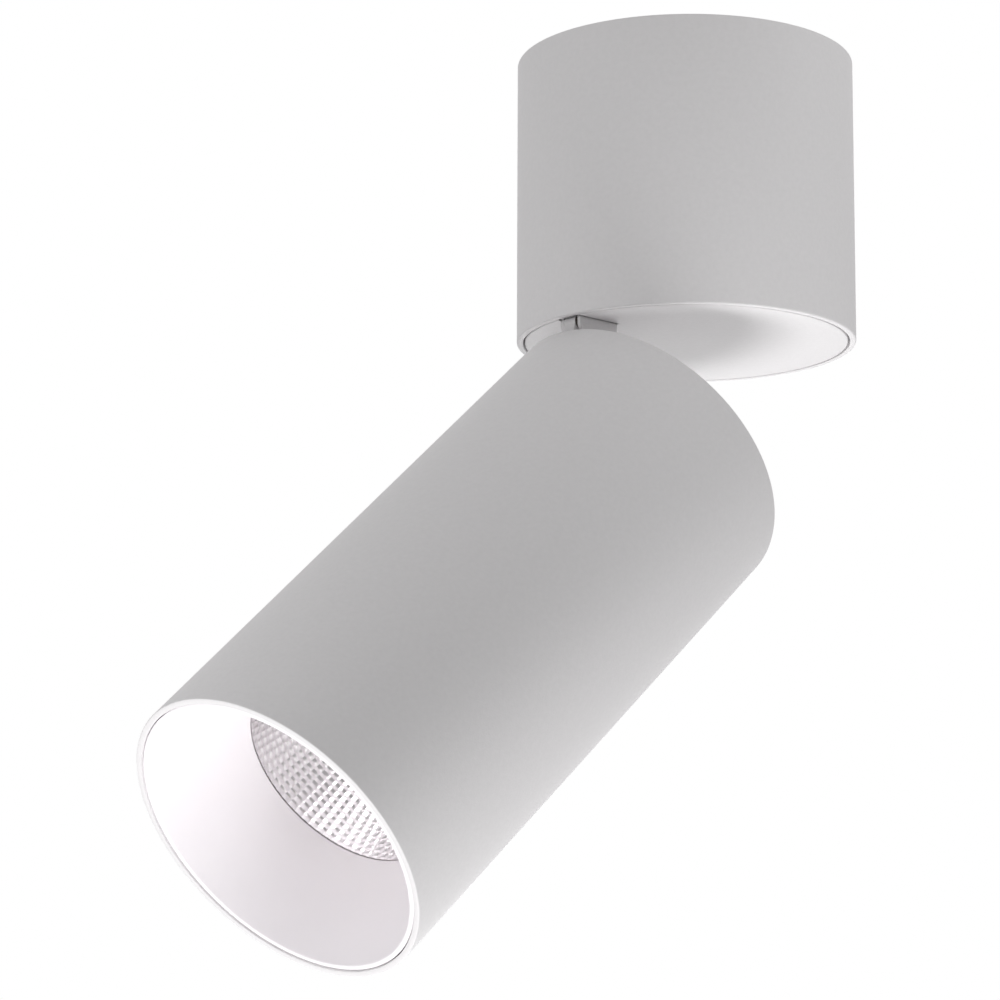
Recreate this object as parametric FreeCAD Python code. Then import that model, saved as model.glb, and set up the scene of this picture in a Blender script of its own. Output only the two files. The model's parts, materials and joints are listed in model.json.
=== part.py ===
"""Surface mounted ceiling spotlight: a round canopy that holds the driver, and a tubular head.

The head tilts on a small hinge at the edge of a disc that turns in the mouth of the canopy.
Millimetres. The origin is the middle of the ceiling face, +Z is up, and the head aims towards -Y.
Everything is modelled with the head closed, straight under the canopy. The head is then tilted
about the hinge pin to the angle that it stands at.
"""
import FreeCAD
import Part
import math
import os

from FreeCAD import Vector

UP = Vector(0, 0, 1)

# Canopy: an aluminium cup whose mouth faces down
canopy_radius = 41.0
canopy_height = 70.0
canopy_wall = 1.5
canopy_edge_round = 0.4
ceiling_shadow_gap = 0.2       # the canopy stops just short of the ceiling
ledge_width = 5.5              # inner ledge that carries the support plate
ledge_thickness = 2.5
ledge_clearance = 0.3          # between the hinge bracket and the ledge it passes under
stud_radius = 2.0              # bayonet studs inside the canopy
stud_count = 3
stud_drop = 6.5                # depth of the stud axis under the ceiling

# Mounting plate: a pressed steel pan against the ceiling
plate_thickness = 1.5
plate_edge_gap = 1.5           # between the pan and the canopy wall
pan_depth = 11.0
bayonet_clearance = 0.3
bayonet_turn = 20.0            # degrees from the entry slot to the locked place
screw_slot_pitch = 54.0
screw_slot_width = 4.5
screw_slot_length = 12.0
cable_hole_radius = 7.0
grommet_bore_radius = 4.5
grommet_flange_width = 3.0
grommet_flange_thickness = 2.0

# Driver and its hanger
driver_end_room = 11.0         # between an end of the driver and the side of the canopy
driver_width = 32.0
driver_height = 22.0
driver_corner = 2.5
driver_drop = 20.0             # top of the driver under the ceiling
driver_play = 0.3              # between the driver and the legs of its hanger
hanger_sheet = 1.2
hanger_bend = 0.96
hanger_width = 16.0
hanger_flange = 8.0
terminal_length = 18.0
terminal_depth = 12.0
terminal_height = 13.0
terminal_corner = 0.8
terminal_poles = 3
terminal_wire_radius = 1.8
terminal_room = 0.3            # between the terminal block and the wall of the pan
ceiling_screw_room = 4.25      # beside a slot, for the head of its screw
earth_x = 15.0
earth_y = -15.0
earth_tag_radius = 5.0
earth_tag_thickness = 0.8

# Swivel: support plate in the canopy, disc in its mouth
disc_gap = 0.5                 # dark line between the canopy wall and the disc
disc_thickness = 3.0
disc_edge = 0.3
disc_floor = 1.2               # metal left under the blind bore of the stem
support_thickness = 2.0
support_play = 0.15
support_screw_count = 3
stem_radius = 5.0
stem_bore_radius = 3.5
stem_flat = 0.8                # depth of the flat that keys the stop washer
running_gap = 0.05
press_gap = 0.02
hub_radius = 9.0
friction_radius = 11.0
friction_thickness = 0.8
bushing_wall = 1.0
bushing_flange_radius = 9.0
bushing_flange = 1.0
wave_washer_thickness = 0.8
wave_washer_inset = 0.15       # smaller than the flange that it sits on
stop_washer_thickness = 1.2
stop_washer_radius = 8.5
stop_radius = 22.0             # circle on which the stop tab meets its pin
stop_pin_radius = 1.0
stop_tab_width = 1.6
nut_across_flats = 15.0
nut_height = 4.0
stem_stand_out = 1.0           # thread left above the nut
lead_slot_width = 5.0

# Hinge
hinge_inset = 3.0              # pin axis from the bore of the canopy
hinge_drop = 0.8               # pin axis under the face of the disc
pin_radius = 1.25
ear_inset = 1.2                # outer end of the ears from the bore of the canopy
ear_length = 11.8
ear_drop = 3.8
ear_corner = 2.4
ear_thickness = 1.0
arm_right = 1.6                # face of the arm that the friction washer squeezes
shim_thickness = 0.65          # friction washer on the right of the arm
thin_shim_thickness = 0.1      # slip washer on its left
shim_radius = 1.9
knuckle_radius = 2.0
notch_clearance = 0.25         # between the ears and the notch in the disc
slot_clearance = 0.15          # between the arm and its slot in the cap
bracket_thickness = 1.0
bracket_width = 22.0
bracket_inset = 3.5            # outer end of the bracket from the bore of the canopy
bracket_length = 11.5
bracket_screw_spread = 16.0
bracket_screw_inset = 6.0      # its screws from the outer end of the bracket
arm_root_inset = 0.6           # the arm at the cap of the head, from the bore of its tube
arm_root_length = 5.8
foot_width = 18.0
foot_inset = 1.9               # outer end of the foot from the bore of the tube
foot_length = 7.0
foot_thickness = 2.0
foot_screw_spread = 12.0

# Head
head_radius = 37.3
head_length = 146.5
head_wall = 1.4
head_gap = 5.7                 # between the disc and the closed head
head_tilt = 48.0               # degrees from straight down, as it stands
rear_chamfer = 0.6
cap_thickness = 3.0
cap_seam = 0.15
cap_shoulder_width = 2.1
cap_shoulder_length = 1.5
lead_hole_radius = 3.5
lead_hole_inset = 14.9         # middle of the lead hole from the bore of the tube
lead_bushing_bore_radius = 2.0
lead_bushing_flange = 1.3
lead_bushing_flange_thickness = 0.8
tie_screw_inset = 8.9          # the screws from the bore of the tube
tie_screw_count = 3

# Heat sink and light source
sink_start = 44.0              # from the rear end of the head
sink_length = 46.0
sink_base = 6.0
sink_gap = 0.3
sink_core_radius = 10.0
sink_fin_count = 24
sink_fin_thickness = 1.4
sink_boss_radius = 3.8
sink_shoulder_width = 2.4
sink_shoulder_length = 2.0
pad_thickness = 0.3
board_side = 19.0
board_thickness = 1.0
emitter_radius = 7.0
emitter_thickness = 0.5
holder_radius = 20.0
holder_thickness = 3.0
holder_play = 0.15
holder_screw_spread = 31.0

# Optics: a faceted bowl behind a plain cone
mouth_depth = 24.1             # from the front end of the head to the mouth of the reflector
reflector_length = 30.0
reflector_mouth_radius = 24.1
reflector_neck_radius = 8.4
reflector_wall = 0.8
reflector_flange = 2.4
flute_count = 72
facet_rows = 20
baffle_seam = 0.2
baffle_lip = 1.2
baffle_recess = 0.3
baffle_wall = 1.2
baffle_skirt = 9.0
baffle_collar_wall = 1.2
baffle_collar_length = 3.4
collar_play = 0.2

# Fasteners
m3_radius = 1.5
m3_head_radius = 2.5
m3_head_height = 1.4
m4_radius = 2.0
m4_head_radius = 3.5
m4_head_height = 2.2
socket_share = 0.55            # width of a hex socket, as a share of its head

# Heights that follow from these sizes
rim_z = -(ceiling_shadow_gap + canopy_height)
canopy_bore = canopy_radius - canopy_wall
disc_radius = canopy_bore - disc_gap
hinge_offset = canopy_bore - hinge_inset
ear_outer_end = canopy_bore - ear_inset
ear_inner_end = ear_outer_end - ear_length
bracket_outer_end = canopy_bore - bracket_inset
bracket_inner_end = bracket_outer_end - bracket_length
bracket_screw_y = bracket_screw_inset - bracket_outer_end
disc_top = rim_z + disc_thickness
bracket_top = disc_top + bracket_thickness
ledge_bottom = bracket_top + ledge_clearance
support_bottom = ledge_bottom + ledge_thickness
support_top = support_bottom + support_thickness
friction_bottom = support_bottom - running_gap - friction_thickness
bushing_top = support_top + bushing_flange
wave_bottom = bushing_top + running_gap
stop_bottom = wave_bottom + wave_washer_thickness
nut_bottom = stop_bottom + stop_washer_thickness
stem_top = nut_bottom + nut_height + stem_stand_out
pin_z = rim_z - hinge_drop
rear_z = rim_z - head_gap
cap_inner_z = rear_z - cap_thickness
front_z = rear_z - head_length
tube_bore = head_radius - head_wall
arm_root_outer = tube_bore - arm_root_inset
arm_root_inner = arm_root_outer - arm_root_length
foot_outer = tube_bore - foot_inset
foot_inner = foot_outer - foot_length
lead_hole_y = lead_hole_inset - tube_bore
tie_screw_circle = tube_bore - tie_screw_inset
pan_radius = canopy_bore - plate_edge_gap
pan_bore = pan_radius - plate_thickness
sink_face = rear_z - sink_start - sink_length
board_face = sink_face - pad_thickness - board_thickness
mouth_z = front_z + mouth_depth
neck_z = mouth_z + reflector_length
ear_inner_x = arm_right + shim_thickness + running_gap
ear_outer_x = ear_inner_x + ear_thickness
arm_left = thin_shim_thickness + running_gap - ear_inner_x
driver_length = 2 * (canopy_radius - driver_end_room)
hanger_end = driver_length / 2 + driver_play + hanger_sheet
driver_top = -driver_drop
driver_bottom = driver_top - driver_height
terminal_y = screw_slot_width / 2 + ceiling_screw_room + terminal_depth / 2
terminal_reach = math.sqrt((pan_bore - terminal_room) ** 2 - (terminal_y + terminal_depth / 2) ** 2)
terminal_x = terminal_length / 2 - terminal_reach


def turned(profile, degrees=360.0):
    """Solid of revolution about Z from an outline of (radius, height) points."""
    points = [Vector(r, 0, z) for r, z in profile]
    outline = Part.makePolygon(points + points[:1])
    return Part.Face(outline).revolve(Vector(), UP, degrees)


def rod(radius, low, high, x=0.0, y=0.0):
    return Part.makeCylinder(radius, high - low, Vector(x, y, low), UP)


def ring(outer, inner, low, high, x=0.0, y=0.0):
    return rod(outer, low, high, x, y).cut(rod(inner, low, high, x, y))


def block(x_range, y_range, z_range):
    """Box between two limits on each axis."""
    low = Vector(min(x_range), min(y_range), min(z_range))
    sizes = [abs(b - a) for a, b in (x_range, y_range, z_range)]
    return Part.makeBox(*sizes, low)


def prism(outline, low, high):
    """Upright prism of an outline of (x, y) points."""
    points = [Vector(x, y, low) for x, y in outline]
    return Part.Face(Part.makePolygon(points + points[:1])).extrude(UP * (high - low))


def hexagon(across_flats, low, high, x=0.0, y=0.0):
    corner = across_flats / math.sqrt(3)
    turns = [math.radians(60 * i) for i in range(6)]
    return prism([(x + corner * math.cos(a), y + corner * math.sin(a)) for a in turns], low, high)


def joined(pieces):
    """One solid made of pieces that meet."""
    return pieces[0].fuse(pieces[1:]).removeSplitter()


def turned_about_z(shape, degrees):
    copy = shape.copy()
    copy.rotate(Vector(), UP, degrees)
    return copy


def polar(shape, count, first=0.0):
    return [turned_about_z(shape, first + 360.0 * i / count) for i in range(count)]


def rounded(shape, radius, chosen):
    """Fillet the edges that the test picks."""
    return shape.makeFillet(radius, [e for e in shape.Edges if chosen(e)])


def bevelled(shape, size, chosen):
    return shape.makeChamfer(size, [e for e in shape.Edges if chosen(e)])


def is_upright(edge):
    """True for a straight edge along Z."""
    box = edge.BoundBox
    return box.XLength + box.YLength < 1e-6 < box.ZLength


def is_circle(radius, height):
    """Test for the circular edge of one radius at one height."""
    def chosen(edge):
        curve = edge.Curve
        if not isinstance(curve, Part.Circle):
            return False
        return abs(curve.Radius - radius) < 1e-4 and abs(curve.Center.z - height) < 1e-4
    return chosen


def screw(x, y, seat, length, radius, head_radius, head_height, rises):
    """Pan head screw with a hex socket; its shank rises from the seat, or goes down from it."""
    side = 1 if rises else -1
    shank = rod(radius, *sorted((seat, seat + side * length)), x, y)
    head = rod(head_radius, *sorted((seat, seat - side * head_height)), x, y)
    head_end = seat - side * head_height
    socket_end = head_end + side * head_height / 2
    socket = hexagon(socket_share * head_radius * 2, *sorted((head_end, socket_end)), x, y)
    return shank.fuse(head).cut(socket).removeSplitter()


def m3_screw(x, y, seat, length, rises):
    return screw(x, y, seat, length, m3_radius, m3_head_radius, m3_head_height, rises)


def at_rest(shape):
    """Tilt a piece of the closed head to the angle that it stands at."""
    copy = shape.copy()
    copy.rotate(Vector(0, -hinge_offset, pin_z), Vector(-1, 0, 0), head_tilt)
    return copy


# Ceiling side -------------------------------------------------------------------------------


def bayonet_notch():
    """L-shaped cut in the wall of the pan: a way in from below and a turn to the locked place."""
    half = stud_radius + bayonet_clearance
    inner = pan_bore - plate_thickness
    outer = pan_radius + plate_thickness
    profile = [(inner, -stud_drop - half), (outer, -stud_drop - half),
               (outer, -stud_drop + half), (inner, -stud_drop + half)]
    track = turned_about_z(turned(profile, bayonet_turn), -bayonet_turn)
    seat = Part.makeCylinder(half, outer - inner, Vector(inner, 0, -stud_drop), Vector(1, 0, 0))
    entry = block((inner, outer), (-half, half), (-pan_depth - plate_thickness, -stud_drop))
    crown = Part.makeCylinder(half, outer - inner, Vector(inner, 0, -stud_drop), Vector(1, 0, 0))
    way_in = turned_about_z(entry.fuse(crown), -bayonet_turn)
    return track.fuse([seat, way_in])


def screw_slot(x):
    """Slot for a ceiling screw, along X, through the plate."""
    reach = (screw_slot_length - screw_slot_width) / 2
    half = screw_slot_width / 2
    low, high = -plate_thickness, 0.0
    ends = [rod(half, low, high, x + side * reach) for side in (-1, 1)]
    return block((x - reach, x + reach), (-half, half), (low, high)).fuse(ends)


def mounting_plate():
    pan = turned([(0, 0), (pan_radius, 0), (pan_radius, -pan_depth), (pan_bore, -pan_depth),
                  (pan_bore, -plate_thickness), (0, -plate_thickness)])
    pan = rounded(pan, plate_thickness / 2, is_circle(pan_radius, 0))
    cuts = polar(bayonet_notch(), stud_count, 90.0)
    cuts += [screw_slot(side * screw_slot_pitch / 2) for side in (-1, 1)]
    cuts.append(rod(cable_hole_radius, -plate_thickness, 0))
    places = [(0, hanger_screw_y()), (0, -hanger_screw_y()), (terminal_x, terminal_y)]
    cuts += [rod(m3_radius + press_gap, -plate_thickness, 0, x, y) for x, y in places]
    cuts.append(rod(m4_radius + press_gap, -plate_thickness, 0, earth_x, earth_y))
    return pan.cut(cuts)


def cable_grommet():
    """Bushing in the cable hole, flush with the ceiling face."""
    neck = cable_hole_radius - press_gap
    flange = cable_hole_radius + grommet_flange_width
    low = -plate_thickness - grommet_flange_thickness
    body = turned([(grommet_bore_radius, 0), (neck, 0), (neck, -plate_thickness),
                   (flange, -plate_thickness), (flange, low), (grommet_bore_radius, low)])
    return rounded(body, grommet_flange_thickness / 3, is_circle(flange, low))


def hanger_screw_y():
    return hanger_end - hanger_sheet - hanger_flange / 2


def driver_hanger():
    """U-shaped strap under the plate, with the driver in its lap."""
    half = hanger_width / 2
    tray = block((-half, half), (-hanger_end, hanger_end),
                 (driver_bottom - hanger_sheet, driver_bottom))
    pieces = [tray]
    for side in (-1, 1):
        inner = side * (hanger_end - hanger_sheet)
        leg = (side * hanger_end, inner)
        pieces.append(block((-half, half), leg, (driver_bottom, -plate_thickness)))
        pieces.append(block((-half, half), (inner, inner - side * hanger_flange),
                            (-plate_thickness - hanger_sheet, -plate_thickness)))
    strap = joined(pieces)
    strap = rounded(strap, hanger_bend, is_outer_bend)
    low = driver_bottom - hanger_sheet
    holes = [rod(m3_radius + press_gap, low, driver_bottom, 0, side * driver_length / 4)
             for side in (-1, 1)]
    holes += [rod(m3_radius + press_gap, -plate_thickness - hanger_sheet, -plate_thickness,
                  0, side * hanger_screw_y()) for side in (-1, 1)]
    return strap.cut(holes)


def is_outer_bend(edge):
    """Outer edge of the bend between the tray and a leg of the hanger."""
    box = edge.BoundBox
    low = driver_bottom - hanger_sheet
    if abs(box.XLength - hanger_width) > 1e-4 or box.ZLength > 1e-6:
        return False
    return abs(box.ZMin - low) < 1e-4 and abs(abs(box.YMin) - hanger_end) < 1e-4


def led_driver():
    """Potted driver with a raised lid and lead notches in its ends."""
    body = block((-driver_width / 2, driver_width / 2), (-driver_length / 2, driver_length / 2),
                 (driver_bottom, driver_top))
    body = rounded(body, driver_corner, is_upright)
    inset = driver_corner
    lid = block((-driver_width / 2 + inset, driver_width / 2 - inset),
                (-driver_length / 2 + inset, driver_length / 2 - inset),
                (driver_top, driver_top + hanger_sheet))
    notches = [rod(driver_corner, driver_top - driver_corner, driver_top + hanger_sheet,
                   driver_width / 4, side * driver_length / 2) for side in (-1, 1)]
    holes = [rod(m3_radius + press_gap, driver_bottom, driver_bottom + 4 * m3_radius,
                 0, side * driver_length / 4) for side in (-1, 1)]
    return body.fuse(lid).cut(notches + holes).removeSplitter()


def driver_screws():
    seat = driver_bottom - hanger_sheet
    length = hanger_sheet + 3 * m3_radius
    return [m3_screw(0, side * driver_length / 4, seat, length, True) for side in (-1, 1)]


def terminal_places():
    """X of each pole, beside the screw that holds the block."""
    pitch = terminal_length / terminal_poles
    return [terminal_x + pitch * (i - (terminal_poles - 1) / 2) for i in range(terminal_poles)]


def terminal_block():
    low = -plate_thickness - terminal_height
    y_range = (terminal_y - terminal_depth / 2, terminal_y + terminal_depth / 2)
    x_range = (terminal_x - terminal_length / 2, terminal_x + terminal_length / 2)
    body = block(x_range, y_range, (low, -plate_thickness))
    body = bevelled(body, terminal_corner, is_upright)
    cuts = [rod(m3_radius + press_gap, low, -plate_thickness, terminal_x, terminal_y)]
    cuts.append(rod(m3_head_radius + holder_play, low, low + terminal_height / 2,
                    terminal_x, terminal_y))
    middle = -plate_thickness - terminal_height / 2
    for x in terminal_places():
        wire = Part.makeCylinder(terminal_wire_radius, terminal_depth / 3,
                                 Vector(x, y_range[0], middle), Vector(0, 1, 0))
        cuts.append(wire)
        cuts.append(rod(terminal_wire_radius, low, low + terminal_height / 4,
                        x, y_range[1] - terminal_depth / 4))
    return body.cut(cuts)


def terminal_screws():
    """Slotted clamping screws, one in each pole of the block."""
    top = -plate_thickness - terminal_height * 3 / 4
    low = top - terminal_height / 8
    y = terminal_y + terminal_depth / 4
    radius = terminal_wire_radius - press_gap
    slot = terminal_wire_radius / 3
    pieces = []
    for x in terminal_places():
        body = rod(radius, low, top, x, y)
        cut = block((x - radius, x + radius), (y - slot / 2, y + slot / 2), (low, low + slot))
        pieces.append(body.cut(cut))
    return pieces


def plate_screws():
    """Screws that hold the hanger and the terminal block to the plate."""
    seat = -plate_thickness - hanger_sheet
    length = plate_thickness + hanger_sheet
    pieces = [m3_screw(0, side * hanger_screw_y(), seat, length, True) for side in (-1, 1)]
    well = -plate_thickness - terminal_height / 2
    pieces.append(m3_screw(terminal_x, terminal_y, well, -well, True))
    return pieces


def earth_tag():
    """Ring tag under the earth screw, with its crimp tail."""
    high = -plate_thickness
    low = high - earth_tag_thickness
    tail = block((earth_x - m4_radius, earth_x + m4_radius),
                 (earth_y - 3 * earth_tag_radius / 2, earth_y), (low, high))
    disc = rod(earth_tag_radius, low, high, earth_x, earth_y)
    return joined([disc, tail]).cut(rod(m4_radius + press_gap, low, high, earth_x, earth_y))


def earth_screw():
    seat = -plate_thickness - earth_tag_thickness
    length = plate_thickness + earth_tag_thickness
    return screw(earth_x, earth_y, seat, length, m4_radius, m4_head_radius, m4_head_height, True)


def canopy_shell():
    """Turned cup with the ledge of the support plate and three bayonet studs inside."""
    top = -ceiling_shadow_gap
    ledge = canopy_bore - ledge_width
    body = turned([(canopy_bore, top), (canopy_radius, top), (canopy_radius, rim_z),
                   (canopy_bore, rim_z), (canopy_bore, ledge_bottom), (ledge, ledge_bottom),
                   (ledge, support_bottom), (canopy_bore, support_bottom)])
    body = rounded(body, canopy_edge_round, is_circle(canopy_radius, top))
    body = rounded(body, canopy_edge_round, is_circle(canopy_radius, rim_z))
    reach = canopy_bore + canopy_wall / 2 - pan_bore
    stud = Part.makeCylinder(stud_radius, reach, Vector(pan_bore, 0, -stud_drop), Vector(1, 0, 0))
    holes = polar(rod(m3_radius + press_gap, ledge_bottom, support_bottom, support_screw_circle()),
                  support_screw_count, 30.0)
    return body.fuse(polar(stud, stud_count, 90.0)).cut(holes)


# Swivel -------------------------------------------------------------------------------------


def support_screw_circle():
    return canopy_bore - ledge_width / 2


def stem_bearing_radius():
    return stem_radius + running_gap + bushing_wall


def support_plate():
    """Steel plate on the ledge that the swivel hangs from."""
    body = rod(canopy_bore - support_play, support_bottom, support_top)
    cuts = [rod(stem_bearing_radius() + press_gap, support_bottom, support_top)]
    cuts += polar(rod(m3_radius + press_gap, support_bottom, support_top,
                      support_screw_circle()), support_screw_count, 30.0)
    cuts.append(rod(stop_pin_radius + press_gap, support_bottom, support_top, 0, stop_radius))
    return body.cut(cuts)


def support_screws():
    length = support_thickness + ledge_thickness
    one = screw(support_screw_circle(), 0, support_top, length, m3_radius,
                min(m3_head_radius, ledge_width / 2 - support_play), m3_head_height, False)
    return polar(one, support_screw_count, 30.0)


def stop_pin():
    """Dowel that the tab of the stop washer meets at either end of the turn."""
    return rod(stop_pin_radius, support_bottom, nut_bottom + running_gap, 0, stop_radius)


def swivel_bushing():
    """Flanged nylon bushing pressed into the support plate."""
    bore = stem_radius + running_gap
    outer = stem_bearing_radius()
    return turned([(bore, support_bottom), (outer, support_bottom), (outer, support_top),
                   (bushing_flange_radius, support_top), (bushing_flange_radius, bushing_top),
                   (bore, bushing_top)])


def lead_groove(low, high):
    """Way for the leads from the stem, over the disc, to the hinge."""
    half = lead_slot_width / 2
    return block((-half, half), (-hub_radius - running_gap, 0), (low, high))


def swivel_disc():
    """Disc in the mouth of the canopy, with its hub and the notch of the hinge."""
    body = turned([(0, rim_z), (disc_radius, rim_z), (disc_radius, disc_top),
                   (hub_radius, disc_top), (hub_radius, friction_bottom), (0, friction_bottom)])
    body = bevelled(body, disc_edge, is_circle(disc_radius, rim_z))
    notch = ear_outer_x + notch_clearance
    cuts = [block((-notch, notch), (-canopy_radius, -ear_inner_end + notch_clearance),
                  (rim_z, disc_top)),
            rod(stem_radius + press_gap, rim_z + disc_floor, friction_bottom),
            lead_groove(disc_top, friction_bottom)]
    depth = disc_thickness - disc_floor
    cuts += [rod(m3_radius + press_gap, disc_top - depth, disc_top,
                 side * bracket_screw_spread / 2, bracket_screw_y) for side in (-1, 1)]
    return body.cut(cuts)


def swivel_stem():
    """Hollow stem screwed into the hub, open to the lead groove, with a flat near its top."""
    low = rim_z + disc_floor
    tube = ring(stem_radius, stem_bore_radius, low, stem_top)
    flat = block((stem_radius - stem_flat, stem_radius), (-stem_radius, stem_radius),
                 (stop_bottom, stem_top))
    return tube.cut([lead_groove(disc_top, friction_bottom), flat])


def friction_washer():
    return ring(friction_radius, stem_radius + press_gap, friction_bottom,
                friction_bottom + friction_thickness)


def wave_washer():
    return ring(bushing_flange_radius - wave_washer_inset, stem_radius + press_gap,
                wave_bottom, stop_bottom)


def stop_washer():
    """Keyed washer whose tab limits the turn."""
    body = ring(stop_washer_radius, stem_radius + press_gap, stop_bottom, nut_bottom)
    half = stop_tab_width / 2
    tab = block((-half, half), (-stop_radius - stop_pin_radius, -stem_radius - 2 * half),
                (stop_bottom, nut_bottom))
    key = stem_radius - stem_flat + press_gap
    land = block((key, stem_radius + 2 * half), (-stem_radius, stem_radius),
                 (stop_bottom, nut_bottom))
    land = land.common(rod(stop_washer_radius, stop_bottom, nut_bottom))
    return joined([body, tab, land])


def stem_nut():
    body = hexagon(nut_across_flats, nut_bottom, nut_bottom + nut_height)
    return body.cut(rod(stem_radius + press_gap, nut_bottom, nut_bottom + nut_height))


# Hinge --------------------------------------------------------------------------------------


def side_plate(outline, x_low, x_high):
    """Plate across X from an outline of (y, z) points."""
    points = [Vector(x_low, y, z) for y, z in outline]
    face = Part.Face(Part.makePolygon(points + points[:1]))
    return face.extrude(Vector(x_high - x_low, 0, 0))


def hinge_bore(radius, x_low, x_high):
    return Part.makeCylinder(radius, x_high - x_low, Vector(x_low, -hinge_offset, pin_z),
                             Vector(1, 0, 0))


def hinge_ear(side):
    low, high = sorted((side * ear_inner_x, side * ear_outer_x))
    bottom = rim_z - ear_drop
    ear = side_plate([(-ear_inner_end, disc_top), (-ear_inner_end, bottom),
                      (-ear_outer_end, bottom), (-ear_outer_end, bracket_top),
                      (-ear_inner_end, bracket_top)], low, high)
    return rounded(ear, ear_corner, lambda e: is_across(e) and abs(e.BoundBox.ZMin - bottom) < 1e-4)


def is_across(edge):
    """True for a straight edge along X."""
    box = edge.BoundBox
    return box.YLength + box.ZLength < 1e-6 < box.XLength


def hinge_bracket():
    """Pressed bracket on top of the disc; its two ears come down through the notch."""
    half = bracket_width / 2
    base = block((-half, half), (-bracket_outer_end, -bracket_inner_end), (disc_top, bracket_top))
    base = rounded(base, ear_corner, is_upright)
    body = joined([base, hinge_ear(-1), hinge_ear(1)])
    window = block((-ear_inner_x, ear_inner_x), (-hinge_offset + knuckle_radius, -ear_inner_end),
                   (disc_top, bracket_top))
    cuts = [hinge_bore(pin_radius + press_gap, -ear_outer_x, ear_outer_x), window,
            block((-ear_inner_x, ear_inner_x), (-canopy_radius, -hinge_offset),
                  (disc_top, bracket_top))]
    cuts += [rod(m3_radius + press_gap, disc_top, bracket_top,
                 side * bracket_screw_spread / 2, bracket_screw_y) for side in (-1, 1)]
    return body.cut(cuts)


def bracket_screws():
    length = bracket_thickness + disc_thickness - disc_floor
    return [m3_screw(side * bracket_screw_spread / 2, bracket_screw_y, bracket_top, length, False)
            for side in (-1, 1)]


def hinge_pin():
    """Rivet pin, flush with the outside of both ears."""
    return hinge_bore(pin_radius, -ear_outer_x, ear_outer_x)


def hinge_shims():
    """Fibre washers between the arm and the ears; their squeeze holds the tilt."""
    pieces = []
    for low, high in ((-ear_inner_x, arm_left - running_gap), (arm_right + running_gap, ear_inner_x)):
        pieces.append(hinge_bore(shim_radius, low, high)
                      .cut(hinge_bore(pin_radius + press_gap, low, high)))
    return pieces


def hinge_arm():
    """Arm from the pin down through the cap, with the foot that it is screwed on by."""
    slope = knuckle_radius * math.sqrt(0.5)
    web = side_plate([(-hinge_offset - knuckle_radius, pin_z), (-arm_root_outer, rear_z),
                      (-arm_root_outer, cap_inner_z), (-arm_root_inner, cap_inner_z),
                      (-arm_root_inner, rear_z), (-hinge_offset + slope, pin_z + slope),
                      (-hinge_offset, pin_z)], arm_left, arm_right)
    knuckle = hinge_bore(knuckle_radius, arm_left, arm_right)
    foot = block((-foot_width / 2, foot_width / 2), (-foot_outer, -foot_inner),
                 (cap_inner_z - foot_thickness, cap_inner_z))
    heel = side_plate([(-arm_root_outer, cap_inner_z), (-foot_outer, cap_inner_z - foot_thickness),
                       (-arm_root_inner, cap_inner_z - foot_thickness),
                       (-arm_root_inner, cap_inner_z)], arm_left, arm_right)
    body = joined([web, knuckle, foot, heel])
    cuts = [hinge_bore(pin_radius + running_gap, arm_left, arm_right)]
    cuts += [rod(m3_radius + press_gap, cap_inner_z - foot_thickness, cap_inner_z,
                 side * foot_screw_spread / 2, foot_screw_y()) for side in (-1, 1)]
    return body.cut(cuts)


def foot_screw_y():
    return -(foot_outer + foot_inner) / 2


def foot_screws():
    seat = cap_inner_z - foot_thickness
    length = foot_thickness + cap_thickness * 2 / 3
    return [m3_screw(side * foot_screw_spread / 2, foot_screw_y(), seat, length, True)
            for side in (-1, 1)]


# Head ---------------------------------------------------------------------------------------


def head_tube():
    """Outer tube with an inner shoulder for the cap and one for the heat sink."""
    cap_low = cap_inner_z - cap_shoulder_length
    sink_high = rear_z - sink_start
    sink_low = sink_high + sink_shoulder_length
    cap_ring = tube_bore - cap_shoulder_width
    sink_ring = tube_bore - sink_shoulder_width
    body = turned([(tube_bore, rear_z), (head_radius, rear_z), (head_radius, front_z),
                   (tube_bore, front_z), (tube_bore, sink_high), (sink_ring, sink_high),
                   (sink_ring, sink_low), (tube_bore, sink_low), (tube_bore, cap_low),
                   (cap_ring, cap_low), (cap_ring, cap_inner_z), (tube_bore, cap_inner_z)])
    body = bevelled(body, rear_chamfer, is_circle(head_radius, rear_z))
    body = rounded(body, baffle_seam, is_circle(head_radius, front_z))
    room = foot_width / 2 + holder_play + foot_thickness
    relief = block((-room, room), (-tube_bore, -foot_inner), (cap_low, cap_inner_z))
    inside = rod(tube_bore, cap_low, cap_inner_z)
    return body.cut(relief.common(inside))


def tie_screw_places():
    turns = [math.radians(90 + 360 * i / tie_screw_count) for i in range(tie_screw_count)]
    return [(tie_screw_circle * math.cos(a), tie_screw_circle * math.sin(a)) for a in turns]


def sunk_head(x, y, grow=0.0):
    """Cone of a countersunk head, flush with the cap."""
    radius = m3_head_radius + grow
    depth = m3_head_height
    return Part.makeCone(m3_radius + grow, radius, depth, Vector(x, y, rear_z - depth), UP)


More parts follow.
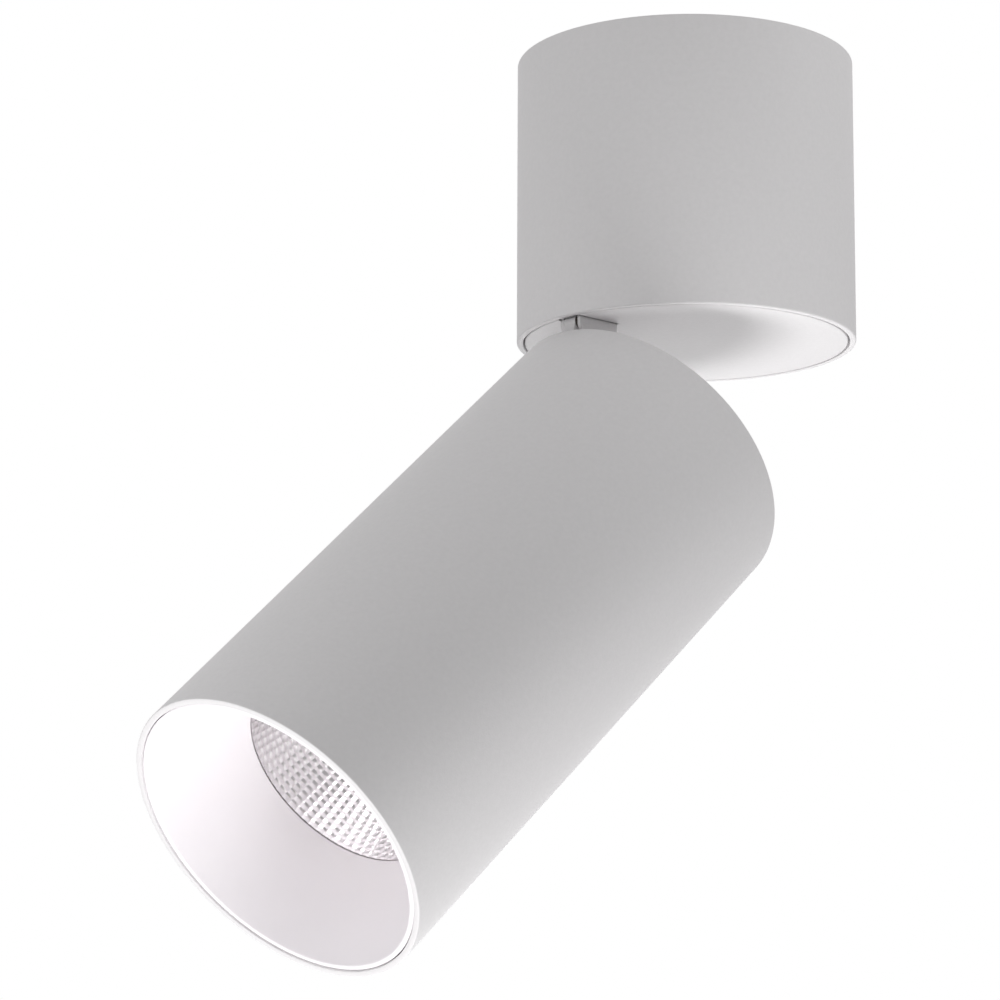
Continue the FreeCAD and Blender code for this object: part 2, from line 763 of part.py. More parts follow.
def rear_cap():
    """Cap in the rear end of the tube, slotted for the hinge arm."""
    radius = tube_bore - cap_seam
    body = rod(radius, cap_inner_z, rear_z)
    body = bevelled(body, disc_edge, is_circle(radius, rear_z))
    slot = (arm_left - slot_clearance, arm_right + slot_clearance)
    cuts = [block(slot, (-tube_bore, -arm_root_inner + slot_clearance), (cap_inner_z, rear_z)),
            rod(lead_hole_radius, cap_inner_z, rear_z, 0, lead_hole_y)]
    for x, y in tie_screw_places():
        cuts.append(rod(m3_radius + press_gap, cap_inner_z, rear_z, x, y))
        cuts.append(sunk_head(x, y, press_gap))
    cuts += [rod(m3_radius + press_gap, cap_inner_z, cap_inner_z + cap_thickness * 2 / 3,
                 side * foot_screw_spread / 2, foot_screw_y()) for side in (-1, 1)]
    return body.cut(cuts)


def lead_bushing():
    """Flanged bushing in the lead hole of the cap."""
    neck = lead_hole_radius - press_gap
    flange = lead_hole_radius + lead_bushing_flange
    top = rear_z + lead_bushing_flange_thickness
    bore = lead_bushing_bore_radius
    body = turned([(bore, cap_inner_z), (neck, cap_inner_z), (neck, rear_z), (flange, rear_z),
                   (flange, top), (bore, top)])
    body = rounded(body, lead_bushing_flange_thickness / 2, is_circle(flange, top))
    body.translate(Vector(0, lead_hole_y, 0))
    return body


def tie_screws():
    """Long countersunk screws that pull the heat sink and the cap against their shoulders."""
    end = rear_z - sink_start - 4 * m3_radius
    pieces = []
    for x, y in tie_screw_places():
        body = joined([rod(m3_radius, end, rear_z, x, y), sunk_head(x, y)])
        width = 2 * socket_share * m3_head_radius
        pieces.append(body.cut(hexagon(width, rear_z - m3_radius * 2 / 3, rear_z, x, y)))
    return pieces


def heat_sink():
    """Cast sink: a round base, a core and radial fins that run to the rear."""
    outer = tube_bore - sink_gap
    high = rear_z - sink_start
    base = rod(outer, sink_face, sink_face + sink_base)
    core = rod(sink_core_radius, sink_face + sink_base, high)
    half = sink_fin_thickness / 2
    fin = block((sink_core_radius / 2, outer), (-half, half), (sink_face + sink_base, high))
    fin = fin.common(rod(outer, sink_face + sink_base, high))
    bosses = [rod(sink_boss_radius, sink_face + sink_base, high, x, y)
              for x, y in tie_screw_places()]
    body = joined([base, core] + polar(fin, sink_fin_count, 180.0 / sink_fin_count) + bosses)
    cuts = [rod(m3_radius + press_gap, high - 5 * m3_radius, high, x, y)
            for x, y in tie_screw_places()]
    cuts.append(rod(lead_hole_radius, sink_face, high, 0, lead_hole_y))
    cuts += [rod(m3_radius + press_gap, sink_face, sink_face + sink_base * 2 / 3,
                 side * holder_screw_spread / 2, 0) for side in (-1, 1)]
    return body.cut(cuts)


def thermal_pad():
    half = board_side / 2
    return block((-half, half), (-half, half), (sink_face - pad_thickness, sink_face))


def led_board():
    """Ceramic board of the light source, with a contact pad at two corners."""
    half = board_side / 2
    body = block((-half, half), (-half, half), (board_face, sink_face - pad_thickness))
    return bevelled(body, board_thickness / 2, is_upright)


def led_emitter():
    return rod(emitter_radius, board_face - emitter_thickness, board_face)


def led_holder():
    """Moulded ring that clamps the board; its hole opens towards the reflector."""
    low = sink_face - holder_thickness
    half = board_side / 2 + holder_play
    hole = reflector_neck_radius + reflector_wall + 2 * holder_play
    body = rod(holder_radius, low, sink_face)
    body = rounded(body, holder_thickness / 4, is_circle(holder_radius, low))
    seat = block((-half, half), (-half, half), (board_face, sink_face))
    mouth = Part.makeCone(hole + holder_thickness / 2, hole, board_face - low,
                          Vector(0, 0, low), UP)
    leads = block((-lead_slot_width / 2, lead_slot_width / 2), (-holder_radius, -half),
                  (board_face, sink_face))
    holes = [rod(m3_radius + press_gap, low, sink_face, side * holder_screw_spread / 2, 0)
             for side in (-1, 1)]
    return body.cut([seat, mouth, leads] + holes)


def holder_screws():
    seat = sink_face - holder_thickness
    length = holder_thickness + sink_base / 2
    return [m3_screw(side * holder_screw_spread / 2, 0, seat, length, True) for side in (-1, 1)]


def reflector_radius(share):
    """Paraboloid: radius at a share of the way from the neck to the mouth."""
    neck, mouth = reflector_neck_radius ** 2, reflector_mouth_radius ** 2
    return math.sqrt(neck + (mouth - neck) * share)


def reflector():
    """Bowl whose inside is a grid of flat facets: straight flutes crossed by rings."""
    shares = [i / facet_rows for i in range(facet_rows + 1)]
    sections = []
    for share in shares:
        z = neck_z - reflector_length * share
        corners = []
        for i in range(flute_count + 1):
            turn = 2 * math.pi * (i % flute_count) / flute_count
            radius = reflector_radius(share)
            corners.append(Vector(radius * math.cos(turn), radius * math.sin(turn), z))
        sections.append(Part.makePolygon(corners))
    bowl = Part.makeLoft(sections, True, True)
    rim = reflector_mouth_radius + reflector_flange
    outside = [(reflector_radius(s) + reflector_wall, neck_z - reflector_length * s)
               for s in shares[:-1]]
    shoulder = mouth_z + reflector_wall
    outside.append((reflector_mouth_radius + reflector_wall, shoulder))
    shell = turned([(0, neck_z)] + outside + [(rim, shoulder), (rim, mouth_z), (0, mouth_z)])
    return shell.cut(bowl)


def baffle():
    """Anti-glare cone: a lip inside the tube, a cone down to the reflector and a rear collar."""
    lip_z = front_z + baffle_recess
    outer = tube_bore - baffle_seam
    inner = outer - baffle_lip
    throat = reflector_mouth_radius
    rise, run = inner - throat, mouth_z - lip_z
    slope = rise / run
    offset = baffle_wall * math.hypot(rise, run) / run
    skirt_bore = outer - baffle_wall
    collar = throat + reflector_flange + collar_play
    collar_low = mouth_z - baffle_collar_wall

    def cone_outside(z):
        return inner - slope * (z - lip_z) + offset

    meet = lip_z + (inner + offset - skirt_bore) / slope
    body = turned([(inner, lip_z), (outer, lip_z), (outer, lip_z + baffle_skirt),
                   (skirt_bore, lip_z + baffle_skirt), (skirt_bore, meet),
                   (cone_outside(collar_low), collar_low),
                   (collar + baffle_collar_wall, collar_low),
                   (collar + baffle_collar_wall, mouth_z + baffle_collar_length),
                   (collar, mouth_z + baffle_collar_length), (collar, mouth_z),
                   (throat, mouth_z)])
    return rounded(body, baffle_seam, is_circle(inner, lip_z))


# Export -------------------------------------------------------------------------------------


def export(name, shape):
    if isinstance(shape, list):
        shape = Part.makeCompound(shape)
    shape.exportStep("parts/%s.step" % name)


def main():
    os.makedirs("parts", exist_ok=True)
    fixed = [mounting_plate, cable_grommet, driver_hanger, led_driver, driver_screws,
             terminal_block, terminal_screws, plate_screws, earth_tag, earth_screw, canopy_shell,
             support_plate, support_screws, stop_pin, swivel_bushing, swivel_disc, swivel_stem,
             friction_washer, wave_washer, stop_washer, stem_nut, hinge_bracket, bracket_screws,
             hinge_pin, hinge_shims]
    tilted = [hinge_arm, foot_screws, head_tube, rear_cap, lead_bushing, tie_screws, heat_sink,
              thermal_pad, led_board, led_emitter, led_holder, holder_screws, reflector, baffle]
    for make in fixed:
        export(make.__name__, make())
    for make in tilted:
        shape = make()
        if isinstance(shape, list):
            export(make.__name__, [at_rest(s) for s in shape])
        else:
            export(make.__name__, at_rest(shape))


main()
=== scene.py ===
"""Surface mounted ceiling spotlight: fine surfaces, finishes, light and camera for its frame.

Metres. Z is up, the ceiling face is at height 0, and the head aims towards -Y and down.
Pieces of the head are shaped with the head closed, straight under the canopy, and are then
tilted about the hinge pin to the angle that the head stands at.
"""
import json
import math

import bmesh
import bpy
from mathutils import Matrix, Vector


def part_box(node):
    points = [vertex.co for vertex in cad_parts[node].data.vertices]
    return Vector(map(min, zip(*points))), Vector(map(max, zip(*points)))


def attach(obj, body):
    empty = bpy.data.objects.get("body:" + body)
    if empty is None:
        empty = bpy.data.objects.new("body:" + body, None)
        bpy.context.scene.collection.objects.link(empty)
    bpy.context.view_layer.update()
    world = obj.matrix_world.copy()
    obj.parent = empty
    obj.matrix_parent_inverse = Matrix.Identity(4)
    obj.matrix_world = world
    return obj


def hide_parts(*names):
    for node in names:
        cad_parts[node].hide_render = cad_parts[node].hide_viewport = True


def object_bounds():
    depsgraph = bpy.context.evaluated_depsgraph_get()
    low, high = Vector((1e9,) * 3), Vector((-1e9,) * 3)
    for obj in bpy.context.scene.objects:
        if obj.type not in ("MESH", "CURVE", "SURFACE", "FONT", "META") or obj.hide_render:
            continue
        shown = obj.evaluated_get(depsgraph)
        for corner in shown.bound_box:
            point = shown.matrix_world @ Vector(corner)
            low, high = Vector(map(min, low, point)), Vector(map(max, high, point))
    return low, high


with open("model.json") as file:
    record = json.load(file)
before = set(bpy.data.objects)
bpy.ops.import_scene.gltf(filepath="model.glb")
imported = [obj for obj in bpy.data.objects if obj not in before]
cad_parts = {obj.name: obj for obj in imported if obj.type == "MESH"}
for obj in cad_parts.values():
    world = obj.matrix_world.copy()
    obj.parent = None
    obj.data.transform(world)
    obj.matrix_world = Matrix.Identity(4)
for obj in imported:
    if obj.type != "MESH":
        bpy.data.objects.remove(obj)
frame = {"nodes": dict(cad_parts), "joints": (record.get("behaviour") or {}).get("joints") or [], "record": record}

bl_info = {
    "name": "Ceiling spotlight",
    "version": (1, 0, 0),
    "blender": (4, 5, 0),
    "location": "3D View > Sidebar > Spotlight",
    "description": "Builds the visible pieces, finishes and light of a ceiling spotlight",
    "category": "Add Mesh",
}

MM = 0.001
FULL_TURN = 2 * math.pi
SAME_PLACE = 1e-6           # points closer than this are one point
SAME_CIRCLE = 1e-5          # how far off a circle its own points may be
ON_THE_CUT = 1e-7           # points this near a cutting plane are on it
FOLD = 0.5                  # radians past which two faces meet in an edge
INWARDS = -0.1              # a normal's part away from the axis, on faces that look inwards
ROUND_STEPS = 256           # steps round the canopy, the disc, the tube and the cone
HUB_STEPS = 96
STUD_STEPS = 24
STUD_ANGLES = (90, 210, 330)
TURNED_CREASE = 32.0        # degrees past which an edge is drawn sharp
FACET_CREASE = 11.0
EDGE_RADIUS = 0.12 * MM     # worn edge of the nodes that keep their own shape
CAD_BOX = [list(corner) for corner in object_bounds()]


# Places read from the frame -----------------------------------------------------------------


def tilt_matrix():
    """Turn about the hinge pin from the closed head to the head as it stands."""
    hinge = next(j for j in frame["joints"] if j["name"] == "tilt")
    pin = Matrix.Translation(hinge["pos_m"])
    angle = math.radians(-min(hinge["range_deg"]))
    return pin @ Matrix.Rotation(angle, 4, Vector(hinge["axis"])) @ pin.inverted()


TILT = tilt_matrix()


def closed_box(node):
    """Lowest and highest corner of a node of the head, with the head closed."""
    back = TILT.inverted()
    places = [back @ v.co for v in frame["nodes"][node].data.vertices]
    low = Vector([min(p[i] for p in places) for i in range(3)])
    high = Vector([max(p[i] for p in places) for i in range(3)])
    return low, high


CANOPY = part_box("canopy_shell")
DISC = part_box("swivel_disc")
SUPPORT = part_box("support_plate")
TUBE = closed_box("head_tube")
BAFFLE = closed_box("baffle")
REFLECTOR = closed_box("reflector")


# Settings -----------------------------------------------------------------------------------


def size(name, description, default):
    """Property for a length in metres."""
    return bpy.props.FloatProperty(name=name, description=description, default=default,
                                   unit="LENGTH", subtype="DISTANCE", precision=5)


def count(name, description, default):
    """Property for a whole number of parts."""
    return bpy.props.IntProperty(name=name, description=description, default=default, min=3)


def fraction(name, description, default):
    """Property for a share from 0 to 1."""
    return bpy.props.FloatProperty(name=name, description=description, default=default, min=0,
                                   max=1, precision=3)


def linear(code):
    """Linear colour with alpha from an sRGB hex code."""
    shares = [int(code[i:i + 2], 16) / 255 for i in (1, 3, 5)]
    return [s / 12.92 if s <= 0.04045 else ((s + 0.055) / 1.055) ** 2.4 for s in shares] + [1.0]


def colour(name, description, code):
    """Property for a colour, from its sRGB hex code."""
    return bpy.props.FloatVectorProperty(name=name, description=description, size=4,
                                         default=linear(code), subtype="COLOR", min=0, max=1)


class SpotlightSizes(bpy.types.PropertyGroup):
    """Sizes of the pieces that are shaped here"""
    canopy_wall: size("Canopy wall", "Thickness of the canopy's side", 1.5 * MM)
    edge_round: size("Edge round", "Radius of the canopy's turned edges", 0.4 * MM)
    ledge_width: size("Ledge", "Width of the ledge inside the canopy", 5.5 * MM)
    ledge_thickness: size("Ledge thickness", "Height of that ledge", 2.5 * MM)
    stud_radius: size("Stud", "Radius of the bayonet studs inside the canopy", 2.0 * MM)
    stud_reach: size("Stud reach", "How far the studs stand in from the canopy's wall", 1.0 * MM)
    stud_drop: size("Stud drop", "Depth of the studs under the ceiling", 6.5 * MM)
    disc_thickness: size("Disc", "Thickness of the turning disc", 3.0 * MM)
    disc_edge: size("Disc edge", "Radius of the disc's lower edge", 0.25 * MM)
    hub_radius: size("Hub", "Radius of the hub on top of the disc", 9.0 * MM)
    stem_radius: size("Stem", "Radius of the hollow stem in the hub", 5.0 * MM)
    notch_half: size("Notch", "Half the width of the notch for the hinge", 3.55 * MM)
    notch_depth: size("Notch depth", "From the disc's edge to the end of the notch", 12.75 * MM)
    tube_wall: size("Tube wall", "Thickness of the head's tube", 1.4 * MM)
    rear_chamfer: size("Rear chamfer", "Broken edge at the rear of the tube", 0.6 * MM)
    front_edge: size("Front edge", "Radius of the tube's front edge", 0.25 * MM)
    bore_edge: size("Bore edge", "Radius of its inner edge", 0.12 * MM)
    lip_width: size("Lip", "Width of the baffle's front ring", 1.2 * MM)
    lip_round: size("Lip round", "Radius of that ring's edges", 0.3 * MM)
    cone_wall: size("Cone wall", "Thickness of the baffle's cone", 1.2 * MM)
    skirt_length: size("Skirt", "Length of the baffle's skirt inside the tube", 9.0 * MM)
    collar_play: size("Collar play", "Room round the reflector's flange", 0.2 * MM)
    collar_length: size("Collar", "How far the baffle's collar reaches past the throat", 3.4 * MM)
    throat: size("Throat", "Radius at which cone and reflector meet", 24.1 * MM)
    neck: size("Neck", "Radius of the reflector round the emitter", 8.4 * MM)
    reflector_wall: size("Reflector wall", "Thickness of the reflector", 0.8 * MM)
    flange: size("Flange", "Width of the reflector's flange", 2.4 * MM)
    flutes: count("Flutes", "Facets in one ring of the reflector", 72)
    rings: count("Rings", "Rows of facets from neck to mouth", 20)
    facet_cuts: count("Facet cuts", "Cuts across a facet that let it swell", 3)
    flute_swell: fraction("Flute swell", "Swell across a facet, as a share of its width", 0.05)
    ring_swell: fraction("Ring swell", "Swell along a facet, as a share of its length", 0.04)
    throat_gap: size("Throat gap", "Dark line between the cone and the reflector", 0.25 * MM)


class SpotlightFinishes(bpy.types.PropertyGroup):
    """Colours of the finishes"""
    coat: colour("Powder coat", "Canopy, disc, hinge and head", "#E6E4E5")
    cone: colour("Baffle", "Anti-glare cone", "#FAF6F9")
    mirror: colour("Reflector", "Metallised facets", "#F6F4F5")
    sheet_steel: colour("Sheet", "Galvanised plate and hanger", "#A7ABAE")
    zinc: colour("Zinc", "Screws, nut and washers", "#B9BBBD")
    tin: colour("Tinned brass", "Earth tag and clamping screws", "#C8BCA6")
    cast: colour("Cast metal", "Heat sink and stem", "#B4B5B7")
    rubber: colour("Rubber", "Grommet and bushing", "#1E1E20")
    shell: colour("White plastic", "Driver, terminals and holder", "#E2E1DC")
    nylon: colour("Nylon", "Swivel bushing", "#E3DCC9")
    fibre: colour("Fibre", "Friction washers", "#3B332F")
    pad: colour("Thermal pad", "Pad behind the board", "#8B8D91")
    board: colour("Board", "Ceramic board of the light source", "#F2F1ED")
    phosphor: colour("Phosphor", "Emitter with the lamp off", "#E9C24A")


# Mesh helpers -------------------------------------------------------------------------------


def turn(bm, outline, steps):
    """Add a closed outline of (radius, height) points turned about Z."""
    verts = [bm.verts.new((radius, 0, height)) for radius, height in outline]
    edges = [bm.edges.new(pair) for pair in zip(verts, verts[1:] + verts[:1])]
    bmesh.ops.spin(bm, geom=verts + edges, cent=(0, 0, 0), axis=(0, 0, 1), dvec=(0, 0, 0),
                   angle=FULL_TURN, steps=steps, use_merge=True, use_duplicate=False)
    tidy(bm)


def spun(outline, steps):
    """New bmesh of a closed outline turned about Z."""
    bm = bmesh.new()
    turn(bm, outline, steps)
    return bm


def tidy(bm):
    """Close the seams and poles, then point the faces outwards."""
    bmesh.ops.remove_doubles(bm, verts=bm.verts, dist=SAME_PLACE)
    bmesh.ops.recalc_face_normals(bm, faces=bm.faces)


def circle_edges(bm, radius, height):
    """Edges of the circle of one radius at one height."""
    def on_it(vert):
        off_radius = abs(math.hypot(vert.co.x, vert.co.y) - radius)
        return off_radius < SAME_CIRCLE and abs(vert.co.z - height) < SAME_CIRCLE
    return [e for e in bm.edges if on_it(e.verts[0]) and on_it(e.verts[1])]


def soften(bm, edges, radius, segments=4):
    """Round edges to a radius."""
    bmesh.ops.bevel(bm, geom=edges, offset=radius, offset_type="OFFSET", segments=segments,
                    profile=0.5, affect="EDGES", material=-1, clamp_overlap=True)


def piece(bm, name, body, replaced, slot, crease=TURNED_CREASE, tilted=False):
    """Object of a finished bmesh that rides on a body and stands for the replaced nodes."""
    mesh = bpy.data.meshes.new(name)
    bm.to_mesh(mesh)
    bm.free()
    if tilted:
        mesh.transform(TILT)
    mesh.set_sharp_from_angle(angle=math.radians(crease))
    made = bpy.data.objects.new(name, mesh)
    bpy.context.scene.collection.objects.link(made)
    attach(made, body)
    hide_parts(*replaced)
    mesh.materials.append(finish(slot))


# Materials ----------------------------------------------------------------------------------


def add(tree, kind, sockets=None, **settings):
    """Add a node, set it, and fill its sockets with values or with links."""
    node = tree.nodes.new(kind)
    for name, value in settings.items():
        setattr(node, name, value)
    for name, value in (sockets or {}).items():
        if isinstance(value, bpy.types.NodeSocket):
            tree.links.new(value, node.inputs[name])
        else:
            node.inputs[name].default_value = value
    return node


def blank(name):
    """Material with nothing but its output, and that output."""
    material = bpy.data.materials.new(name)
    material.use_nodes = True
    material.node_tree.nodes.clear()
    return material, add(material.node_tree, "ShaderNodeOutputMaterial")


def per_mm(millimetres):
    """Texture scale at which one feature is this many millimetres."""
    return 1 / (millimetres * MM)


def grain(tree, millimetres, detail=2.0):
    """Noise of one grain size over the piece."""
    place = add(tree, "ShaderNodeTexCoord").outputs["Object"]
    noise = add(tree, "ShaderNodeTexNoise",
                {"Vector": place, "Scale": per_mm(millimetres), "Detail": detail})
    return noise.outputs["Fac"]


def worn_edge(tree):
    """Normal that runs round an edge, as a moulded, cast or tumbled edge does."""
    return add(tree, "ShaderNodeBevel", {"Radius": EDGE_RADIUS}, samples=4).outputs["Normal"]


def between(tree, share, low, high):
    """Colour between two, by a share."""
    ramp = add(tree, "ShaderNodeValToRGB", {"Fac": share})
    ramp.color_ramp.elements[0].color = low
    ramp.color_ramp.elements[1].color = high
    return ramp.outputs["Color"]


def spread(tree, share, low, high):
    """Number between two, by a share."""
    ranged = add(tree, "ShaderNodeMapRange", {"Value": share, "To Min": low, "To Max": high})
    return ranged.outputs["Result"]


def shade(rgba, factor):
    """Colour made darker or lighter by a factor."""
    return [min(1.0, c * factor) for c in rgba[:3]] + [1.0]


def surface(tree, output, sockets):
    """Principled surface on the material's output."""
    shader = add(tree, "ShaderNodeBsdfPrincipled", sockets)
    tree.links.new(shader.outputs["BSDF"], output.inputs["Surface"])


def powder_coat():
    """Polyester powder coat, sprayed and stoved: a dull white skin with a fine grain
    and a low orange peel, which catches the light as a faint speckle. The real grain is
    finer; it is drawn 0.45 mm wide, and stays faint from the distance of the picture."""
    base = settings().finishes.coat
    material, output = blank("White powder coat")
    tree = material.node_tree
    fine = grain(tree, 0.45, 3.0)
    peel = grain(tree, 2.2)
    tint = between(tree, grain(tree, 1.1), shade(base, 0.96), shade(base, 1.03))
    low = add(tree, "ShaderNodeBump", {"Height": peel, "Strength": 0.5, "Distance": 0.05 * MM,
                                       "Normal": worn_edge(tree)})
    top = add(tree, "ShaderNodeBump", {"Height": fine, "Strength": 0.7, "Distance": 0.05 * MM,
                                       "Normal": low.outputs["Normal"]})
    surface(tree, output, {"Base Color": tint, "Roughness": spread(tree, fine, 0.55, 0.68),
                           "IOR": 1.5, "Normal": top.outputs["Normal"]})
    return material


def cone_white():
    """Moulded polycarbonate with a matt sprayed finish: whiter and smoother than the coat,
    so the cone glows softly with the light that falls into it. Its grain is drawn at 0.3 mm,
    coarser than the real one."""
    base = settings().finishes.cone
    material, output = blank("Matt white baffle")
    tree = material.node_tree
    fine = grain(tree, 0.3, 3.0)
    tint = between(tree, grain(tree, 6.0), shade(base, 0.985), base)
    bump = add(tree, "ShaderNodeBump", {"Height": fine, "Strength": 0.2, "Distance": 0.02 * MM})
    surface(tree, output, {"Base Color": tint, "Roughness": spread(tree, fine, 0.5, 0.6),
                           "IOR": 1.5, "Normal": bump.outputs["Normal"]})
    return material


def metallised():
    """Aluminium vapour on moulded plastic: a bright mirror whose facets each show a small,
    bent picture of the room, with a breath of haze from the mould, in spots of 0.8 mm."""
    base = settings().finishes.mirror
    material, output = blank("Metallised reflector")
    tree = material.node_tree
    haze = grain(tree, 0.8, 3.0)
    tint = between(tree, grain(tree, 5.0), shade(base, 0.95), base)
    bump = add(tree, "ShaderNodeBump", {"Height": haze, "Strength": 0.12, "Distance": 0.01 * MM})
    surface(tree, output, {"Base Color": tint, "Metallic": 1.0,
                           "Roughness": spread(tree, haze, 0.06, 0.12),
                           "Normal": bump.outputs["Normal"]})
    return material


def galvanised():
    """Hot dipped steel sheet: a cool grey with the leafy crystals of the zinc, about 5 mm wide,
    whose borders a little noise bends."""
    base = settings().finishes.sheet_steel
    material, output = blank("Galvanised sheet")
    tree = material.node_tree
    place = add(tree, "ShaderNodeTexCoord").outputs["Object"]
    wave = add(tree, "ShaderNodeTexNoise", {"Vector": place, "Scale": per_mm(3.0)})
    bent = add(tree, "ShaderNodeMixRGB", {"Fac": 0.002, "Color1": place,
                                          "Color2": wave.outputs["Color"]})
    leaf = add(tree, "ShaderNodeTexVoronoi", {"Vector": bent.outputs["Color"],
                                              "Scale": per_mm(5.0)})
    crystal = leaf.outputs["Color"]
    tint = between(tree, crystal, shade(base, 0.82), shade(base, 1.12))
    bump = add(tree, "ShaderNodeBump",
               {"Height": crystal, "Strength": 0.1, "Distance": 0.02 * MM})
    surface(tree, output, {"Base Color": tint, "Metallic": 1.0,
                           "Roughness": spread(tree, crystal, 0.32, 0.5),
                           "Normal": bump.outputs["Normal"]})
    return material


def plain_metal(name, base, roughness, grain_mm):
    """Metal with a fine grain, drawn coarser than the real one; its roughness wanders a
    little over the surface."""
    material, output = blank(name)
    tree = material.node_tree
    fine = grain(tree, grain_mm, 4.0)
    tint = between(tree, fine, shade(base, 0.9), shade(base, 1.05))
    bump = add(tree, "ShaderNodeBump", {"Height": fine, "Strength": 0.2, "Distance": 0.02 * MM,
                                        "Normal": worn_edge(tree)})
    surface(tree, output, {"Base Color": tint, "Metallic": 1.0,
                           "Roughness": spread(tree, fine, roughness * 0.8, roughness * 1.2),
                           "Normal": bump.outputs["Normal"]})
    return material


def plain_solid(name, base, roughness, grain_mm, ior):
    """Moulded or pressed material with the texture of its mould, drawn coarser than the real
    one."""
    material, output = blank(name)
    tree = material.node_tree
    fine = grain(tree, grain_mm, 3.0)
    tint = between(tree, fine, shade(base, 0.95), shade(base, 1.03))
    bump = add(tree, "ShaderNodeBump", {"Height": fine, "Strength": 0.25, "Distance": 0.03 * MM,
                                        "Normal": worn_edge(tree)})
    surface(tree, output, {"Base Color": tint, "IOR": ior,
                           "Roughness": spread(tree, fine, roughness * 0.85, roughness * 1.15),
                           "Normal": bump.outputs["Normal"]})
    return material


def zinc_plate():
    """Bright zinc plate on turned steel: a cool, fairly sharp shine."""
    return plain_metal("Zinc plate", settings().finishes.zinc, roughness=0.3, grain_mm=0.8)


def tinned_brass():
    """Tinned brass: a warm, soft shine."""
    return plain_metal("Tinned brass", settings().finishes.tin, roughness=0.28, grain_mm=0.7)


def cast_metal():
    """Die-cast aluminium as it leaves the mould: dull, with a fine crust."""
    return plain_metal("Die-cast aluminium", settings().finishes.cast, roughness=0.5,
                       grain_mm=0.5)


def rubber():
    """Moulded rubber: nearly black and dull."""
    return plain_solid("Black rubber", settings().finishes.rubber, roughness=0.7,
                       grain_mm=0.6, ior=1.52)


def white_plastic():
    """Moulded polycarbonate with a spark-eroded mould texture."""
    return plain_solid("White plastic", settings().finishes.shell, roughness=0.45,
                       grain_mm=0.5, ior=1.58)


def nylon():
    """Natural nylon: creamy and waxy."""
    return plain_solid("Natural nylon", settings().finishes.nylon, roughness=0.4,
                       grain_mm=1.0, ior=1.53)


def fibre():
    """Pressed fibre: dark brown and dry."""
    return plain_solid("Pressed fibre", settings().finishes.fibre, roughness=0.85,
                       grain_mm=0.3, ior=1.46)


def thermal_pad():
    """Filled silicone pad: grey and soft."""
    return plain_solid("Thermal pad", settings().finishes.pad, roughness=0.75,
                       grain_mm=0.4, ior=1.41)


def ceramic():
    """Alumina board with a thin glaze."""
    return plain_solid("White ceramic", settings().finishes.board, roughness=0.25,
                       grain_mm=1.5, ior=1.6)


def phosphor():
    """Silicone filled with phosphor powder: a yellow disc with a satin skin."""
    return plain_solid("Yellow phosphor", settings().finishes.phosphor, roughness=0.35,
                       grain_mm=0.25, ior=1.41)


# Slot of the record, and what makes its material.
FINISHES = {
    "white_powder_coat": powder_coat,
    "baffle_white": cone_white,
    "bright_metallised": metallised,
    "galvanised_steel": galvanised,
    "zinc_fasteners": zinc_plate,
    "tinned_copper": tinned_brass,
    "cast_aluminium": cast_metal,
    "black_rubber": rubber,
    "white_plastic": white_plastic,
    "natural_nylon": nylon,
    "dark_fibre": fibre,
    "thermal_grey": thermal_pad,
    "white_ceramic": ceramic,
    "phosphor_yellow": phosphor,
}
made_finishes = {}


def finish(slot):
    """Material of a slot, made once."""
    if slot not in made_finishes:
        made_finishes[slot] = FINISHES[slot]()
    return made_finishes[slot]


def settings():
    """Sizes and finishes as they are set in the panel."""
    return bpy.context.scene.spotlight


# Ceiling side -------------------------------------------------------------------------------


class SPOTLIGHT_OT_canopy(bpy.types.Operator):
    """Turn the canopy: a cup with rounded edges, a ledge inside and three bayonet studs"""
    bl_idname = "spotlight.canopy"
    bl_label = "Canopy"

    def execute(self, context):
        sizes = settings().sizes
        radius, rim = CANOPY[1].x, CANOPY[0].z
        top, bore = CANOPY[1].z, CANOPY[1].x - sizes.canopy_wall
        ledge = bore - sizes.ledge_width
        ledge_top = SUPPORT[0].z
        ledge_low = ledge_top - sizes.ledge_thickness
        bm = spun([(bore, top), (radius, top), (radius, rim), (bore, rim), (bore, ledge_low),
                   (ledge, ledge_low), (ledge, ledge_top), (bore, ledge_top)], ROUND_STEPS)
        soften(bm, circle_edges(bm, radius, top) + circle_edges(bm, radius, rim),
               sizes.edge_round)
        # The rim's inner edge is only broken, a third as much as the outer one.
        soften(bm, circle_edges(bm, bore, rim), sizes.edge_round / 3, 2)
        reach = sizes.stud_reach + sizes.canopy_wall / 2
        middle = bore - sizes.stud_reach + reach / 2
        lying = Matrix.Rotation(math.radians(90), 4, "Y")
        for degrees in STUD_ANGLES:
            place = (Matrix.Rotation(math.radians(degrees), 4, "Z")
                     @ Matrix.Translation((middle, 0, -sizes.stud_drop)) @ lying)
            bmesh.ops.create_cone(bm, cap_ends=True, segments=STUD_STEPS,
                                  radius1=sizes.stud_radius, radius2=sizes.stud_radius,
                                  depth=reach, matrix=place)
        piece(bm, "canopy", "ceiling_base", ["canopy_shell"], "white_powder_coat")
        return {"FINISHED"}


# Turntable ----------------------------------------------------------------------------------


def hub(bm, low, high):
    """Add the hub of the disc, bored for the stem."""
    sizes = settings().sizes
    corners = [(sizes.stem_radius, low), (sizes.hub_radius, low), (sizes.hub_radius, high),
               (sizes.stem_radius, high)]
    turn(bm, corners, HUB_STEPS)


